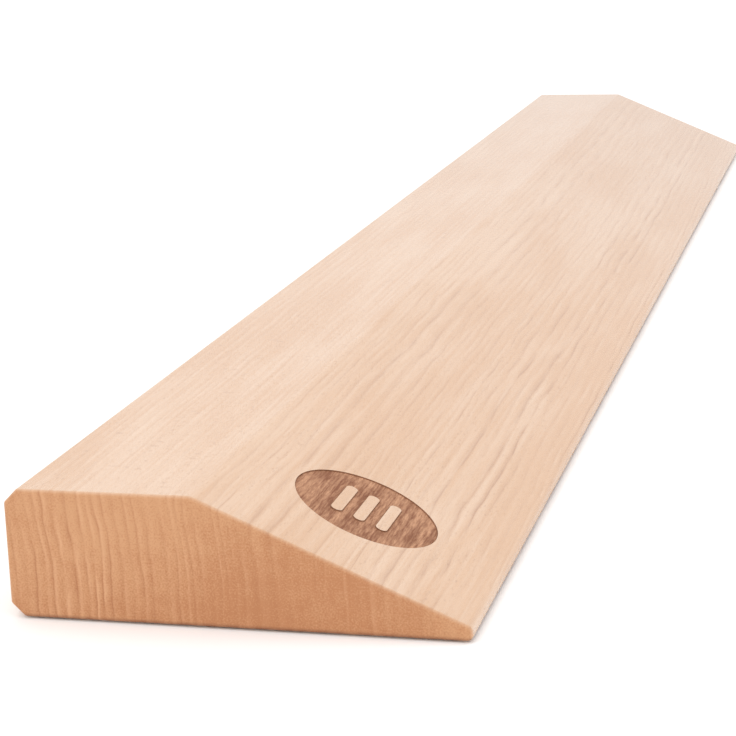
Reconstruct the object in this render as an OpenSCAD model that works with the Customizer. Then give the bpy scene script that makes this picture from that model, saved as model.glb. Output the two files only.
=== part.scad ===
// Floor balance beam: one solid beech bar with a flat shoulder, a long sloping face and a thin toe.
// Six thin rubber pads sit in shallow seats in its underside and stand a little proud of it.
// X runs across the beam, from the upright side to the toe. Y runs along it, and Z is up.
// The origin is under the middle of the beam, on the surface that the pads stand on.

/* [Beam] */
// Length of the beam
beam_length = 1000; // [700:10:1200]
// Width of the underside
beam_width = 150; // [130:1:200]
// Thickness of the timber under the shoulder
beam_height = 42.5; // [34:0.5:60]
// Width of the flat shoulder, from the upright side to the ridge
shoulder_width = 62; // [50:1:80]
// Thickness of the timber at the toe
toe_height = 4.5; // [4:0.5:10]

/* [Edges] */
// Size of the two chamfers along the upright side
side_chamfer = 4.5; // [3:0.5:8]
// Radius of the arrises beside those chamfers
arris_radius = 1.5; // [0.5:0.1:2.5]
// Radius of the ridge between the shoulder and the slope
ridge_radius = 5; // [1:1:10]
// Radius of the two corners of the toe
toe_radius = 2; // [0.5:0.1:2]
// Size of the small chamfer all round both end faces
end_chamfer = 1; // [0.5:0.1:1.5]

/* [Burned mark] */
// Diameter of the round mark
mark_diameter = 50; // [30:1:60]
// Depth to which the mark is burned away
mark_depth = 0.4; // [0.2:0.1:1]
// Distance down the slope from the ridge to the middle of the mark
mark_from_ridge = 46.5; // [35:0.5:55]
// Distance from the front end to the middle of the mark
mark_from_end = 52.5; // [40:0.5:200]
// Number of plain bars left standing in the mark
bar_count = 3; // [1:1:5]
// Width of one bar
bar_width = 4; // [2:0.5:5]
// Distance from one bar to the next
bar_pitch = 8; // [6:0.5:9]
// Length of one bar, with its round ends
bar_length = 24; // [14:1:30]

/* [Pads] */
// Diameter of one pad
pad_diameter = 30; // [20:1:36]
// Thickness of one pad
pad_thickness = 2; // [2:0.5:4]
// Depth of the seat that a pad is glued into
seat_depth = 1.5; // [0.5:0.5:1.5]
// Gap round the pad in its seat
seat_gap = 0.5; // [0.2:0.1:1]
// Distance from a long edge of the underside to the middle of a pad
pad_side_inset = 27; // [27:1:30]
// Distance from an end of the beam to the middle of its pads
pad_end_inset = 60; // [40:5:120]
// Size of the bevel round the foot of a pad
pad_bevel = 0.4; // [0.2:0.1:0.5]

/* [Hidden] */
$fn = 96;
ROWS = ["front", "middle", "back"];
SIDES = ["left", "right"];
BEECH = [0.94, 0.82, 0.71];
RUBBER = [0.13, 0.13, 0.14];

proud = pad_thickness - seat_depth;
left = -beam_width / 2;
right = beam_width / 2;
front = -beam_length / 2;
ridge = [left + shoulder_width, beam_height];
toe = [right, toe_height];
slope_run = toe - ridge;
slope_angle = atan2(-slope_run.y, slope_run.x);
// How far the tools that cut the beam reach past its faces
clear = 2;

// Corners of the beam's section, clockwise as seen from the front: [x, z] and the radius there
CORNERS = [
    [[left, side_chamfer], arris_radius],
    [[left, beam_height - side_chamfer], arris_radius],
    [[left + side_chamfer, beam_height], arris_radius],
    [ridge, ridge_radius],
    [toe, toe_radius],
    [[right, 0], toe_radius],
    [[left + side_chamfer, 0], arris_radius],
];
OUTLINE = [for (c = CORNERS) c[0]];
LAST = len(OUTLINE) - 1;

pad_radius = pad_diameter / 2;

function pad_name(row, side) = str("pad_", row, "_", side);
function unit(v) = v / norm(v);
function next(i) = i == LAST ? 0 : i + 1;
function before(i) = i == 0 ? LAST : i - 1;

// Middle of a pad, seen from above
function pad_place(row, side) = [
    side == "left" ? left + pad_side_inset : right - pad_side_inset,
    row == "middle" ? 0 : (row == "front" ? 1 : -1) * (front + pad_end_inset),
];

// What a round-over takes off the outline at one corner
module corner_waste(i) {
    corner = OUTLINE[i];
    radius = CORNERS[i][1];
    u = unit(OUTLINE[before(i)] - corner);
    v = unit(OUTLINE[next(i)] - corner);
    half_angle = acos(u * v) / 2;
    reach = radius / tan(half_angle);
    inward = unit(u + v);
    centre = corner + inward * radius / sin(half_angle);
    difference() {
        polygon([centre, corner + u * reach, corner - inward * clear, corner + v * reach]);
        translate(centre) circle(r = radius);
    }
}

module section() {
    difference() {
        polygon(OUTLINE);
        for (i = [0:LAST]) corner_waste(i);
    }
}

// What a plane takes off the front end along the side of the section from corner p to corner q
module end_waste(p, q) {
    run = q - p;
    reach = end_chamfer + clear;
    translate([p.x, front, p.y])
        rotate([0, -atan2(run.y, run.x), 0])
            translate([-clear, 0, 0])
                rotate([90, 0, 90])
                    linear_extrude(norm(run) + 2 * clear)
                        polygon([[reach, clear], [-clear, -reach], [-clear, clear]]);
}

module end_wastes() {
    for (i = [0:LAST]) end_waste(OUTLINE[i], OUTLINE[next(i)]);
}

// Places its children on the slope: the middle of the mark is their origin and the slope is their XY plane
module on_slope() {
    across = ridge + unit(slope_run) * mark_from_ridge;
    translate([across.x, front + mark_from_end, across.y])
        rotate([0, slope_angle, 0])
            children();
}

module bar() {
    straight = bar_length - bar_width;
    square([bar_width, straight], center = true);
    for (end = [-1, 1]) translate([0, end * straight / 2]) circle(d = bar_width);
}

module mark() {
    difference() {
        circle(d = mark_diameter);
        for (i = [0:bar_count - 1])
            translate([(i - (bar_count - 1) / 2) * bar_pitch, 0]) bar();
    }
}

module pad_seat(row, side) {
    translate(concat(pad_place(row, side), -clear))
        cylinder(r = pad_radius + seat_gap, h = seat_depth + clear);
}

module beech_beam() {
    color(BEECH) translate([0, 0, proud]) difference() {
        translate([0, beam_length / 2, 0])
            rotate([90, 0, 0]) linear_extrude(beam_length) section();
        end_wastes();
        mirror([0, 1, 0]) end_wastes();
        on_slope() translate([0, 0, -mark_depth]) linear_extrude(mark_depth + clear) mark();
        for (row = ROWS) for (side = SIDES) pad_seat(row, side);
    }
}

// Half of a pad's section: a disc with a bevelled foot
module pad_profile() {
    polygon([
        [0, 0],
        [pad_radius - pad_bevel, 0],
        [pad_radius, pad_bevel],
        [pad_radius, pad_thickness],
        [0, pad_thickness],
    ]);
}

module rubber_pad(row, side) {
    color(RUBBER) translate(pad_place(row, side)) rotate_extrude() pad_profile();
}

beech_beam();
for (row = ROWS) for (side = SIDES)
    rubber_pad(row, side);
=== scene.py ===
import math

import bmesh
import bpy
from mathutils import Matrix, Vector


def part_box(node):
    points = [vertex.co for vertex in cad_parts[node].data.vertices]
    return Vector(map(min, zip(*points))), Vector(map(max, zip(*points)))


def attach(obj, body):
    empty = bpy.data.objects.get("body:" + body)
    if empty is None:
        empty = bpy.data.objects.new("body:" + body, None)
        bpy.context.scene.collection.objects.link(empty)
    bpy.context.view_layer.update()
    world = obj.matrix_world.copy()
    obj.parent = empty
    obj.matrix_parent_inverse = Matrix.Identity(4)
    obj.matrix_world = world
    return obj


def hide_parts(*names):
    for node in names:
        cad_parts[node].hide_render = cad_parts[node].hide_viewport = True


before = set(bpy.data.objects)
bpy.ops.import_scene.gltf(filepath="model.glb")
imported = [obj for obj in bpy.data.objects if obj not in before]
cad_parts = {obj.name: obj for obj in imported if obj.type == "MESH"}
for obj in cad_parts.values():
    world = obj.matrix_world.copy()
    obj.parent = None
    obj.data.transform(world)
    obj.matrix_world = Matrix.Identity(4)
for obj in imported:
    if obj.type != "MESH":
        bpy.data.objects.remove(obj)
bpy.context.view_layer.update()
beamLow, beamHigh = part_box("beech_beam")
padNodes = sorted(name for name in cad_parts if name.startswith("pad_"))
print("frame loaded:", sorted(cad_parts))


def choose(obj):
    # only this object selected and active
    deselectAll()
    obj.select_set(True)
    bpy.context.view_layer.objects.active = obj


def deselectAll():
    for obj in bpy.context.selected_objects:
        obj.select_set(False)


def freeze(obj):
    # moves the object's place and size into its mesh
    choose(obj)
    bpy.ops.object.transform_apply(location=True, rotation=True, scale=True)


def justAdded(name):
    obj = bpy.context.active_object
    obj.name = name
    obj.data.name = name
    return obj


def pick(obj, kind, wanted):
    # in edit mode: selects the faces or edges that wanted() says yes to
    bpy.ops.mesh.select_mode(type=kind)
    bpy.ops.mesh.select_all(action="DESELECT")
    mesh = bmesh.from_edit_mesh(obj.data)
    mesh.normal_update()
    found = [part for part in (mesh.faces if kind == "FACE" else mesh.edges) if wanted(part)]
    for part in found:
        part.select_set(True)
    bmesh.update_edit_mesh(obj.data)


def roundOver(obj, wanted, offset, segments):
    # bevels the chosen edges to an arc
    pick(obj, "EDGE", wanted)
    bpy.ops.mesh.bevel(offset=offset, segments=segments, profile=0.5, affect="EDGES", clamp_overlap=False)


def applyModifier(obj, kind, **settings):
    choose(obj)
    bpy.ops.object.modifier_add(type=kind)
    modifier = obj.modifiers[-1]
    for name, value in settings.items():
        setattr(modifier, name, value)
    bpy.ops.object.modifier_apply(modifier=modifier.name)


def cutWith(obj, tool):
    applyModifier(obj, "BOOLEAN", operation="DIFFERENCE", solver="EXACT", object=tool)
    bpy.data.objects.remove(tool)


def smoothShade(obj, degrees):
    choose(obj)
    bpy.ops.object.shade_smooth_by_angle(angle=math.radians(degrees))
    applyModifier(obj, "WEIGHTED_NORMAL", keep_sharp=True, weight=80)


beamShape = {
    "shoulder": 0.062,      # width of the flat shoulder
    "toe": 0.0045,          # thickness left at the thin edge
    "chamfer": 0.0045,      # the two chamfers along the upright side
    "arrisRadius": 0.0015,  # softening beside the chamfers
    "ridgeRadius": 0.005,
    "toeRadius": 0.002,
    "endRadius": 0.0014,    # round-over all round both end faces
    "segments": 5,
}

ridge = Vector((beamLow.x + beamShape["shoulder"], 0, beamHigh.z))
toe = Vector((beamHigh.x, 0, beamLow.z + beamShape["toe"]))
downSlope = (toe - ridge).normalized()
slopeNormal = Vector((-downSlope.z, 0, downSlope.x))
slopeTurn = math.atan2(slopeNormal.x, slopeNormal.z)


def runsAt(x, z):
    # a test for the long edges that run along the beam at this x and z
    return lambda edge: all(abs(v.co.x - x) < 1e-4 and abs(v.co.z - z) < 1e-4 for v in edge.verts)


def tangent(radius, turn):
    # how far back from a corner an arc of this radius starts
    return radius * math.tan(turn / 2)


def makeBeam():
    values = beamShape
    deselectAll()
    bpy.ops.mesh.primitive_cube_add(size=1, location=(beamLow + beamHigh) / 2, scale=beamHigh - beamLow)
    beam = justAdded("beechBeam")
    freeze(beam)
    bpy.ops.object.mode_set(mode="EDIT")

    # the slope is planed off
    bpy.ops.mesh.select_all(action="SELECT")
    bpy.ops.mesh.bisect(plane_co=ridge, plane_no=slopeNormal, use_fill=True, clear_outer=True)

    # chamfers along the upright side, then the softening of every long arris
    left, chamfer = beamLow.x, values["chamfer"]
    for z in (beamLow.z, beamHigh.z):
        pick(beam, "EDGE", runsAt(left, z))
        bpy.ops.mesh.bevel(offset=chamfer, segments=1, affect="EDGES", clamp_overlap=False)
    steps = values["segments"]
    arris = tangent(values["arrisRadius"], math.radians(45))
    for z, inward in ((beamLow.z, chamfer), (beamHigh.z, -chamfer)):
        roundOver(beam, runsAt(left + chamfer, z), arris, steps)
        roundOver(beam, runsAt(left, z + inward), arris, steps)
    roundOver(beam, runsAt(ridge.x, ridge.z), tangent(values["ridgeRadius"], slopeTurn), steps)
    toeTurn = math.pi / 2 - slopeTurn
    roundOver(beam, runsAt(toe.x, toe.z), tangent(values["toeRadius"], toeTurn), steps)
    roundOver(beam, runsAt(toe.x, beamLow.z), values["toeRadius"], steps)

    # both ends
    for y in (beamLow.y, beamHigh.y):
        roundOver(beam, lambda edge: all(abs(v.co.y - y) < 1e-5 for v in edge.verts),
                  values["endRadius"], steps)
    bpy.ops.object.mode_set(mode="OBJECT")
    print("beam shaped:", len(beam.data.polygons), "faces")
    return beam


markShape = {
    "diameter": 0.050,
    "depth": 0.0004,
    "fromRidge": 0.0465,    # down the slope
    "fromEnd": 0.0525,      # in from the front end
    "barCount": 3,
    "barWidth": 0.004,
    "barPitch": 0.008,
    "barLength": 0.024,
    "rim": 0.0003,          # darker scorched line round the edge
    "sides": 128,
    "burned": 1,            # number of the floor's material on the beam
    "scorched": 2,          # and of the wall's and rim's
}

markCentre = ridge + downSlope * markShape["fromRidge"]
markCentre.y = beamLow.y + markShape["fromEnd"]
markPlace = Matrix.Translation(markCentre) @ Matrix.Rotation(slopeTurn, 4, "Y")


def makeBar(x):
    # a plain bar with round ends, standing upright in the mark
    width, length = markShape["barWidth"], markShape["barLength"]
    deselectAll()
    bpy.ops.mesh.primitive_cylinder_add(vertices=30, radius=width / 2, depth=width)
    bar = justAdded("markBar")
    bpy.ops.object.mode_set(mode="EDIT")
    for side in (-1, 1):
        pick(bar, "EDGE", lambda edge: all(v.co.y * side > 0 for v in edge.verts))
        bpy.ops.transform.translate(value=(0, side * (length - width) / 2, 0))
    bpy.ops.object.mode_set(mode="OBJECT")
    bar.location.x = x
    freeze(bar)
    return bar


def makeMarkTool():
    # a disc with the plain bars cut out of it, lying on the slope
    values = markShape
    deselectAll()
    bpy.ops.mesh.primitive_cylinder_add(
        vertices=values["sides"], radius=values["diameter"] / 2, depth=2 * values["depth"])
    tool = justAdded("markTool")
    middle = (values["barCount"] - 1) / 2
    for i in range(values["barCount"]):
        cutWith(tool, makeBar((i - middle) * values["barPitch"]))
    tool.matrix_world = markPlace
    freeze(tool)
    return tool


def giveMaterial(obj, number):
    # gives the selected faces the object's material of this number
    obj.active_material_index = number
    bpy.ops.object.material_slot_assign()


def burnMark(beam):
    values = markShape
    cutWith(beam, makeMarkTool())

    def inMark(face):
        # the face's middle, seen from the mark's own plane
        spot = markPlace.inverted() @ face.calc_center_median()
        return math.hypot(spot.x, spot.y) < values["diameter"] / 2 + 1e-5 and spot.z < -1e-5

    bpy.ops.object.mode_set(mode="EDIT")
    pick(beam, "FACE", inMark)
    giveMaterial(beam, values["scorched"])
    pick(beam, "FACE", lambda face: inMark(face) and face.normal.dot(slopeNormal) > 0.9)
    giveMaterial(beam, values["burned"])
    bpy.ops.mesh.inset(thickness=values["rim"], use_select_inset=True)
    giveMaterial(beam, values["scorched"])
    bpy.ops.object.mode_set(mode="OBJECT")
    print("mark burned", values["depth"] * 1000, "mm deep")


padShape = {
    "sides": 72,
    "seatGap": 0.0005,      # round the pad, in its seat
    "seatDepth": 0.0015,
    "toolReach": 0.002,     # how far the tool that cuts a seat hangs out below the beam
    "rimRadius": 0.0004,
    "edgeBand": 0.0018,     # plain band outside the first groove
    "grooveWidth": 0.0012,
    "landWidth": 0.0018,    # between grooves
    "grooveDepth": 0.0005,
    "grooves": 3,
}


def cutSeats(beam):
    depth = padShape["seatDepth"] + padShape["toolReach"]
    for node in padNodes:
        low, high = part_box(node)
        middle = (low + high) / 2
        middle.z = beamLow.z + padShape["seatDepth"] - depth / 2
        radius = (high.x - low.x) / 2 + padShape["seatGap"]
        deselectAll()
        bpy.ops.mesh.primitive_cylinder_add(
            vertices=padShape["sides"], radius=radius, depth=depth, location=middle)
        tool = justAdded("seatTool")
        freeze(tool)
        cutWith(beam, tool)
    print("pad seats cut:", len(padNodes))


def radiusOf(face):
    return max(math.hypot(v.co.x, v.co.y) for v in face.verts)


def makePad(radius, thickness):
    # one pad about the origin, with its foot at z = 0
    values = padShape
    deselectAll()
    bpy.ops.mesh.primitive_cylinder_add(
        vertices=values["sides"], radius=radius, depth=thickness, location=(0, 0, thickness / 2))
    pad = justAdded("padPattern")
    freeze(pad)
    bpy.ops.object.mode_set(mode="EDIT")

    # rings are inset one after another into the foot, and every second one is pushed in as a groove
    pick(pad, "FACE", lambda face: face.normal.z < -0.9)
    band, edge, grooveEdges = values["edgeBand"], radius, []
    for i in range(values["grooves"]):
        bpy.ops.mesh.inset(thickness=band)
        edge -= band
        grooveEdges.append(edge)
        bpy.ops.mesh.inset(thickness=values["grooveWidth"])
        edge -= values["grooveWidth"]
        band = values["landWidth"]
    pick(pad, "FACE", lambda face: face.normal.z < -0.9 and len(face.verts) == 4
         and any(abs(radiusOf(face) - r) < 1e-4 for r in grooveEdges))
    bpy.ops.mesh.extrude_region_move(TRANSFORM_OT_translate={"value": (0, 0, values["grooveDepth"])})

    # rims: the outer edge of the foot, then the top edge
    def outer(z):
        return lambda edge: all(
            abs(v.co.z - z) < 1e-6 and math.hypot(v.co.x, v.co.y) > radius - 1e-5 for v in edge.verts)
    roundOver(pad, outer(0), values["rimRadius"], 4)
    roundOver(pad, outer(thickness), values["rimRadius"] / 2, 2)
    bpy.ops.object.mode_set(mode="OBJECT")
    return pad


def makePads():
    low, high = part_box(padNodes[0])
    pattern = makePad((high.x - low.x) / 2, high.z - low.z)
    smoothShade(pattern, 40)
    pads = []
    for node in padNodes:
        low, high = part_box(node)
        pad = pattern.copy()
        pad.data = pattern.data.copy()
        pad.name = "rubber" + "".join(word.title() for word in node.split("_"))
        bpy.context.scene.collection.objects.link(pad)
        pad.location = ((low.x + high.x) / 2, (low.y + high.y) / 2, low.z)
        freeze(pad)
        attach(pad, "root")
        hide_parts(node)
        pads.append(pad)
    bpy.data.objects.remove(pattern)
    print("pads made:", [pad.name for pad in pads])
    return pads


def tint(red, green, blue):
    # a screen colour, 0 to 255, as a shader colour
    def linear(part):
        part /= 255
        return part / 12.92 if part <= 0.04045 else ((part + 0.055) / 1.055) ** 2.4
    return (linear(red), linear(green), linear(blue), 1)


def newMaterial(name):
    material = bpy.data.materials.new(name)
    material.use_nodes = True
    return material, material.node_tree, material.node_tree.nodes["Principled BSDF"]


def add(tree, kind, feeds=None, **settings):
    # a node with its settings, and its inputs linked or set
    node = tree.nodes.new(kind)
    for name, value in settings.items():
        setattr(node, name, value)
    for name, value in (feeds or {}).items():
        if isinstance(value, bpy.types.NodeSocket):
            tree.links.new(value, node.inputs[name])
        else:
            node.inputs[name].default_value = value
    return node


def calc(tree, operation, *values):
    return add(tree, "ShaderNodeMath", dict(enumerate(values)), operation=operation).outputs[0]


def calcVector(tree, operation, first, second):
    return add(tree, "ShaderNodeVectorMath", {0: first, 1: second}, operation=operation).outputs[0]


def parts(tree, vector):
    # the x, y and z of a vector
    return list(add(tree, "ShaderNodeSeparateXYZ", {0: vector}).outputs)


def joined(tree, x, y, z):
    return add(tree, "ShaderNodeCombineXYZ", {"X": x, "Y": y, "Z": z}).outputs[0]


def ramp(tree, value, stops):
    # stops: (position, grey level) pairs
    node = add(tree, "ShaderNodeValToRGB", {"Fac": value})
    marks = node.color_ramp.elements
    while len(marks) < len(stops):
        marks.new(0.5)
    for mark, (position, level) in zip(marks, stops):
        mark.position = position
        mark.color = (level, level, level, 1)
    return node.outputs["Color"]


def spread(tree, value, low, high, newLow=0.0, newHigh=1.0):
    # the stretch from low to high becomes the stretch from newLow to newHigh, and stops there
    return add(tree, "ShaderNodeMapRange", {"Value": value, "From Min": low, "From Max": high,
               "To Min": newLow, "To Max": newHigh}).outputs["Result"]


def mixColour(tree, share, first, second):
    node = add(tree, "ShaderNodeMix", {0: share, 6: first, 7: second}, data_type="RGBA")
    return node.outputs[2]


def noise(tree, place, sizes, detail=2.0, roughness=0.5, output="Fac"):
    # sizes: how far, in metres, one blot of the noise reaches along x, y and z
    scaled = add(tree, "ShaderNodeMapping", {"Vector": place, "Scale": [1 / size for size in sizes]})
    node = add(tree, "ShaderNodeTexNoise", {"Vector": scaled.outputs[0], "Scale": 1.0,
               "Detail": detail, "Roughness": roughness})
    return node.outputs[output]


def lineNoise(tree, value, detail=1.0):
    # noise along a single line
    return add(tree, "ShaderNodeTexNoise", {"W": value, "Scale": 1.0, "Detail": detail},
               noise_dimensions="1D").outputs["Fac"]


grain = {
    "heart": (-0.300, 0, 0.004),        # where the tree's heart lay, left of the beam
    "lean": 0.008,                      # how far the heart drifts sideways along one metre
    "bends": (                          # size of a bend along x, y and z, then how far it pushes the rings
        (0.20, 0.60, 0.20, 0.0060),
        (0.025, 0.050, 0.025, 0.0030),
        (0.008, 0.030, 0.008, 0.0014),
    ),
    "ringWidth": 0.0033,
    "unevenYears": (0.022, 2.5),        # over what distance the ring width changes, and how much
    # how far into the year, then how dark or how pale
    "lateWood": ((0, 0.35), (0.12, 0.05), (0.50, 0.0), (0.80, 0.45), (0.92, 1.0), (1.0, 0.35)),
    "earlyWood": ((0, 0.0), (0.10, 0.8), (0.22, 1.0), (0.50, 0.2), (0.70, 0.0)),
    "yearLuck": 1.3,                    # above 1, more of the years are weak
    "weakestYear": 0.25,
    "ringBreaks": (0.0022, 0.030, 0.018),
    "breakEdge": (0.38, 0.62),          # the stretch of noise over which a ring fades into a break
    "leftInBreak": 0.1,
    "rayCell": (0.020, 0.0050, 0.00055),    # outwards, along and round the rings
    "rayEdge": (0.126, 0.273),          # a ray is full up to here and gone from there, in shares of a cell
    "rayLuck": (0.2, 0.1),              # up to this luck a ray is as weak as this
    "pore": (0.00013, 0.0024, 0.00013),
    "streak": (0.0014, 0.060, 0.0014),
    "blotch": (0.030, 0.147, 0.030),
    "mottle": (0.0050, 0.020, 0.0050),
    "fibre": (0.0006, 0.0050, 0.0006),
}


def bentPlace(tree, place):
    # no tree grows quite straight, so slow waves push the rings sideways
    for *size, height in grain["bends"]:
        wave = noise(tree, place, size, detail=1.5, output="Color")
        wave = calcVector(tree, "SUBTRACT", wave, (0.5, 0.5, 0.5))
        place = calcVector(tree, "ADD", place, calcVector(tree, "MULTIPLY", wave, (height, 0, height)))
    return place


def woodPlace(tree, place):
    # distances out from the tree's heart, along the tree and round it
    x, y, z = parts(tree, calcVector(tree, "SUBTRACT", bentPlace(tree, place), grain["heart"]))
    x = calc(tree, "MULTIPLY_ADD", y, grain["lean"], x)
    outwards = calc(tree, "SQRT", calc(tree, "MULTIPLY_ADD", x, x, calc(tree, "MULTIPLY", z, z)))
    around = calc(tree, "MULTIPLY", calc(tree, "ARCTAN2", z, x), -grain["heart"][0])
    return outwards, y, around


def ringPattern(tree, outwards, along, around):
    # each year opens pale and ends in a soft dark band, stronger in some years, and both come and go
    step, amount = grain["unevenYears"]
    drift = lineNoise(tree, calc(tree, "DIVIDE", outwards, step))
    years = calc(tree, "MULTIPLY_ADD", drift, amount, calc(tree, "DIVIDE", outwards, grain["ringWidth"]))
    season = calc(tree, "FRACT", years)
    luck = add(tree, "ShaderNodeTexWhiteNoise", {"W": calc(tree, "FLOOR", years)}, noise_dimensions="1D")
    luck = calc(tree, "POWER", luck.outputs["Value"], grain["yearLuck"])
    strength = spread(tree, luck, 0, 1, grain["weakestYear"], 1)
    place = joined(tree, outwards, along, around)
    breaks = noise(tree, place, grain["ringBreaks"])
    breaks = spread(tree, breaks, *grain["breakEdge"], grain["leftInBreak"], 1)
    strength = calc(tree, "MULTIPLY", strength, breaks)
    late = calc(tree, "MULTIPLY", ramp(tree, season, grain["lateWood"]), strength)
    early = calc(tree, "MULTIPLY", ramp(tree, season, grain["earlyWood"]), strength)
    return late, early


def rayPattern(tree, outwards, along, around):
    # thin ribbons that run outwards, seen as lines, dashes or flecks by the way a face cuts them
    place = calcVector(tree, "DIVIDE", joined(tree, outwards, along, around), grain["rayCell"])
    cells = add(tree, "ShaderNodeTexVoronoi", {"Vector": place, "Scale": 1.0})
    ray = spread(tree, cells.outputs["Distance"], *grain["rayEdge"], 1, 0)
    luck = add(tree, "ShaderNodeSeparateColor", {0: cells.outputs["Color"]}).outputs["Red"]
    weakUpTo, weakest = grain["rayLuck"]
    return calc(tree, "MULTIPLY", ray, spread(tree, luck, weakUpTo, 1, weakest, 1))


boardPlaces = {                 # where each mask starts and where it is full, in metres
    "low": (0.045, -0.002),     # down and towards the toe: painted shade, the end grain darker low down
    "left": (0.0, -0.05),
    "right": (-0.02, 0.04),
    "tip": (0.045, 0.070),      # at the toe
    "back": (-0.1, 0.5),        # near the back end
    "foot": (beamLow.z + 0.0017, beamLow.z + 0.0004),   # along the lowest edges
}

boardFacings = {                # how squarely a face looks along x, y or z where its mask starts and is full
    "upright": (0.7, 0.95),
    "end": (0.08, 0.95),
    "flat": (0.93, 0.99),
}

endShadeLean = 0.35                  # how much the low mask, painted shade on the end grain, leans towards the toe
poreEdge = (0.55, 0.8)          # the stretch of noise over which a pore opens


def beechGrain(tree):
    # the patterns of a solid beech board, each from 0 to 1, worked out from the place in the wood
    texture = add(tree, "ShaderNodeTexCoord")
    place = texture.outputs["Object"]
    inWood = woodPlace(tree, place)
    late, early = ringPattern(tree, *inWood)
    x, y, z = parts(tree, place)
    lean = calc(tree, "MULTIPLY_ADD", x, -endShadeLean, z)
    across = {"low": lean, "left": x, "right": x, "tip": x, "back": y, "foot": z}
    masks = {name: spread(tree, value, *boardPlaces[name]) for name, value in across.items()}
    for part, (name, edge) in zip(parts(tree, texture.outputs["Normal"]), boardFacings.items()):
        masks[name] = spread(tree, calc(tree, "ABSOLUTE", part), *edge)
    return masks | {
        "late": late,
        "early": early,
        "ray": rayPattern(tree, *inWood),
        "pore": spread(tree, noise(tree, place, grain["pore"], detail=0.0), *poreEdge),
        "streak": noise(tree, place, grain["streak"], detail=3.0, roughness=0.6),
        "blotch": noise(tree, place, grain["blotch"], detail=2.0),
        "mottle": noise(tree, place, grain["mottle"]),
        "fibre": noise(tree, place, grain["fibre"]),
    }


beechColours = {
    "pale": tint(219, 186, 158),
    "warm": tint(211, 171, 137),
    # painted sheen: a greyer tone laid on towards the back end
    "cool": tint(204, 176, 156),
    "early": tint(228, 198, 172),
    "ring": tint(176, 132, 102),
    "ray": tint(180, 140, 112),
    "pore": tint(170, 130, 100),
    "endPale": tint(199, 147, 105),
    # the deeper end-grain tone, which also carries the painted shade low on the end face
    "endWarm": tint(180, 121, 79),
    "endRing": tint(160, 100, 62),
    "endEarly": tint(216, 166, 126),
    "endRay": tint(214, 162, 122),
    # painted shade along the lowest edges
    "grime": tint(126, 74, 46),
}

beechShow = {                   # how strongly each pattern shows, from 0 to 1
    "cool": 0.5,                # painted sheen: a greyer tone towards the back end
    "early": 0.5,
    "late": (0.45, 0.85),       # near the ridge, near the toe
    "lateLost": {"flat": 0.55, "upright": 0.6, "back": 0.4},
    "ray": (0.42, 0.7),         # on most faces, on the upright side
    "pore": 0.3,
    "endRings": (0.28, 0.75),   # towards the toe, at the upright side
    "endRay": 0.2,
    "grime": 0.85,              # painted shade along the lowest edges
    "grimeGaps": (0.35, 0.6, 0.6),      # painted shade broken by mottle: mottle where it is thin, mottle where it is full, thin share
}

# a slow change of colour: the share of each pattern in it, then the stretch of their sum it shows over
softChanges = {
    "warmSide": ({"streak": 1, "blotch": 1.5, "tip": 0.15}, (1.02, 1.48)),
    # the end grain: random tone, and through the low share painted shade, darker down towards the toe
    "warmEnd": ({"mottle": 1, "blotch": 1, "low": 0.7, "tip": -0.5, "fibre": 2.6}, (2.1, 3.1)),
    "burn": ({"fibre": 1, "streak": 1, "mottle": 1}, (1.2, 1.75)),
}


def layer(tree, colour, pattern, strength, paint):
    # another colour laid over the first where the pattern is high
    return mixColour(tree, calc(tree, "MULTIPLY", pattern, strength), colour, paint)


def softChange(tree, wood, name):
    # from 0 to 1
    shares, stretch = softChanges[name]
    total = 0
    for pattern, share in shares.items():
        total = calc(tree, "MULTIPLY_ADD", wood[pattern], share, total)
    return spread(tree, total, *stretch)


def woodColour(tree, wood):
    # the colour of clean beech: long grain with a painted sheen towards the back end, then end grain with
    # painted shade low down, then painted shade along the lowest edges
    colours, show = beechColours, beechShow
    side = mixColour(tree, softChange(tree, wood, "warmSide"), colours["pale"], colours["warm"])
    # painted sheen: greyer towards the back end
    side = layer(tree, side, wood["back"], show["cool"], colours["cool"])
    side = layer(tree, side, wood["early"], show["early"], colours["early"])
    lines = wood["late"]
    for where, loss in show["lateLost"].items():
        lines = calc(tree, "MULTIPLY", lines, spread(tree, wood[where], 0, 1, 1, 1 - loss))
    side = layer(tree, side, lines, spread(tree, wood["right"], 0, 1, *show["late"]), colours["ring"])
    rays = spread(tree, wood["upright"], 0, 1, *show["ray"])
    side = layer(tree, side, wood["ray"], rays, colours["ray"])
    side = layer(tree, side, wood["pore"], show["pore"], colours["pore"])

    # end grain: random tone plus painted shade, darker towards the bottom
    end = mixColour(tree, softChange(tree, wood, "warmEnd"), colours["endPale"], colours["endWarm"])
    rings = spread(tree, wood["left"], 0, 1, *show["endRings"])
    end = layer(tree, end, wood["early"], rings, colours["endEarly"])
    end = layer(tree, end, wood["late"], rings, colours["endRing"])
    end = layer(tree, end, wood["ray"], show["endRay"], colours["endRay"])
    colour = mixColour(tree, wood["end"], side, end)

    # painted shade along the lowest edges, broken by mottle, kept off faces that look straight up or down
    paintedShadeMask = calc(tree, "MULTIPLY", wood["foot"], calc(tree, "SUBTRACT", 1, wood["flat"]))
    paintedShadeMask = calc(tree, "MULTIPLY", paintedShadeMask, spread(tree, wood["mottle"], *show["grimeGaps"], 1))
    return layer(tree, colour, paintedShadeMask, show["grime"], colours["grime"])


cleanFinish = {
    "relief": 0.00004,          # metres
    "rough": (0.24, 0.6),       # on the long grain, on the end grain
    "poreRough": 0.2,           # added in the pores
}

burnedFinish = {
    "relief": 0.00008,
    "rough": 0.8,
    "specular": 0.25,
    "late": 0.6,                # how strongly rings and pores show
    "pore": 0.5,
}


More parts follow.
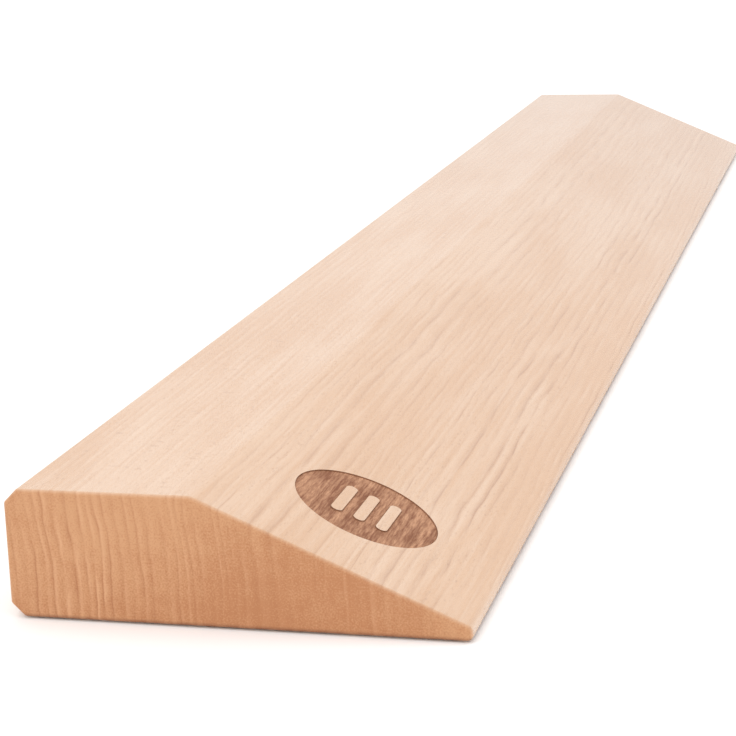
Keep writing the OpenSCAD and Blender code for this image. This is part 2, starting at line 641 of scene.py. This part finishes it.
def woodRelief(tree, wood, height):
    # fine relief: open pores and harder ring lines, which stand 0.4 as high as the pores are deep
    level = calc(tree, "SUBTRACT", calc(tree, "MULTIPLY", wood["late"], 0.4), wood["pore"])
    return add(tree, "ShaderNodeBump", {"Height": level, "Distance": height, "Strength": 0.5}).outputs[0]


def beechMaterial():
    material, tree, shader = newMaterial("sandedBeech")
    wood = beechGrain(tree)
    tree.links.new(woodColour(tree, wood), shader.inputs["Base Color"])
    rough = spread(tree, wood["end"], 0, 1, *cleanFinish["rough"])
    rough = calc(tree, "MULTIPLY_ADD", wood["pore"], cleanFinish["poreRough"], rough)
    tree.links.new(rough, shader.inputs["Roughness"])
    tree.links.new(woodRelief(tree, wood, cleanFinish["relief"]), shader.inputs["Normal"])
    shader.inputs["Specular IOR Level"].default_value = 0.5
    return material


burnColours = {"pale": tint(199, 150, 117), "deep": tint(136, 88, 63), "ring": tint(126, 80, 54)}
charColours = {"pale": tint(166, 120, 92), "deep": tint(136, 92, 66), "ring": tint(118, 78, 54)}


def burnedMaterial(name, colours):
    # the heat bites deeper into some streaks than into others
    material, tree, shader = newMaterial(name)
    wood = beechGrain(tree)
    colour = mixColour(tree, softChange(tree, wood, "burn"), colours["pale"], colours["deep"])
    for pattern in ("late", "pore"):
        colour = layer(tree, colour, wood[pattern], burnedFinish[pattern], colours["ring"])
    tree.links.new(colour, shader.inputs["Base Color"])
    shader.inputs["Roughness"].default_value = burnedFinish["rough"]
    shader.inputs["Specular IOR Level"].default_value = burnedFinish["specular"]
    tree.links.new(woodRelief(tree, wood, burnedFinish["relief"]), shader.inputs["Normal"])
    return material


rubberLook = {
    "black": tint(34, 34, 35),
    "worn": tint(62, 61, 60),
    "speck": 0.0006,            # metres across
    "cloud": 0.008,
    "wornSpecks": (0.45, 0.75),     # the stretch of noise over which the wear shows
    "wornClouds": (0.35, 0.70),
    "rough": (0.72, 0.90),
    "relief": 0.00005,
}


def rubberMaterial():
    material, tree, shader = newMaterial("mattRubber")
    place = add(tree, "ShaderNodeTexCoord").outputs["Object"]
    speck = noise(tree, place, [rubberLook["speck"]] * 3, detail=3.0)
    cloud = noise(tree, place, [rubberLook["cloud"]] * 3)
    specks = spread(tree, speck, *rubberLook["wornSpecks"])
    worn = calc(tree, "MULTIPLY", specks, spread(tree, cloud, *rubberLook["wornClouds"]))
    colour = mixColour(tree, worn, rubberLook["black"], rubberLook["worn"])
    tree.links.new(colour, shader.inputs["Base Color"])
    tree.links.new(spread(tree, speck, 0.3, 0.7, *rubberLook["rough"]), shader.inputs["Roughness"])
    bump = add(tree, "ShaderNodeBump", {"Height": speck, "Distance": rubberLook["relief"], "Strength": 0.6})
    tree.links.new(bump.outputs[0], shader.inputs["Normal"])
    shader.inputs["Specular IOR Level"].default_value = 0.4
    return material


beam = makeBeam()
beam.data.materials.append(beechMaterial())
beam.data.materials.append(burnedMaterial("burnedBeech", burnColours))
beam.data.materials.append(burnedMaterial("scorchedEdge", charColours))
burnMark(beam)
cutSeats(beam)
smoothShade(beam, 30)
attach(beam, "root")
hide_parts("beech_beam")
print("beam finished:", len(beam.data.polygons), "faces")

rubber = rubberMaterial()
for pad in makePads():
    pad.data.materials.append(rubber)

studio = {
    "floor": 8.0,           # metres across
    "paper": 0.98,          # grey level of the floor
    "world": 1.1,
    "top": {"place": (-0.1, -0.5, 1.5), "aim": (0, -0.2, 0), "size": 1.6, "power": 3.6},
    "side": {"place": (-0.3, -1.4, 0.95), "aim": (0, -0.3, 0), "size": 1.2, "power": 2.2},
}


def makeFloor():
    deselectAll()
    bpy.ops.mesh.primitive_plane_add(size=studio["floor"])
    floor = justAdded("studioFloor")
    material, tree, shader = newMaterial("palePaper")
    shader.inputs["Base Color"].default_value = (*[studio["paper"]] * 3, 1)
    shader.inputs["Roughness"].default_value = 0.9
    shader.inputs["Specular IOR Level"].default_value = 0.1
    floor.data.materials.append(material)


def makeWorld():
    world = bpy.data.worlds.new("softStudio")
    bpy.context.scene.world = world
    world.use_nodes = True
    background = world.node_tree.nodes["Background"]
    background.inputs["Color"].default_value = (1, 1, 1, 1)
    background.inputs["Strength"].default_value = studio["world"]


def softBox(name):
    values = studio[name]
    place = Vector(values["place"])
    deselectAll()
    bpy.ops.object.light_add(type="AREA", location=place)
    lamp = justAdded(name + "Box")
    lamp.data.shape = "SQUARE"
    lamp.data.size = values["size"]
    lamp.data.energy = values["power"]
    lamp.rotation_euler = (Vector(values["aim"]) - place).to_track_quat("-Z", "Y").to_euler()


view = {
    "place": (0.20046, -1.10113, 0.23995),
    "turn": 14.4664,        # degrees to the left of the beam's length
    "down": 13.9826,        # degrees below level
    "roll": -2.0843,        # degrees
    "lens": 105.696,        # millimetres, on a sensor this wide
    "sensor": 36,
}


def makeCamera():
    deselectAll()
    bpy.ops.object.camera_add(location=view["place"])
    camera = justAdded("viewCamera")
    look = Matrix.Rotation(math.radians(view["turn"]), 3, "Z")
    look @= Matrix.Rotation(math.radians(90 - view["down"]), 3, "X")
    look @= Matrix.Rotation(math.radians(view["roll"]), 3, "Z")
    camera.rotation_euler = look.to_euler()
    camera.data.lens = view["lens"]
    camera.data.sensor_width = view["sensor"]
    camera.data.clip_start = 0.01
    bpy.context.scene.camera = camera


makeFloor()
makeWorld()
softBox("top")
softBox("side")
makeCamera()
bpy.context.scene.view_settings.view_transform = "Standard"
print("studio ready")
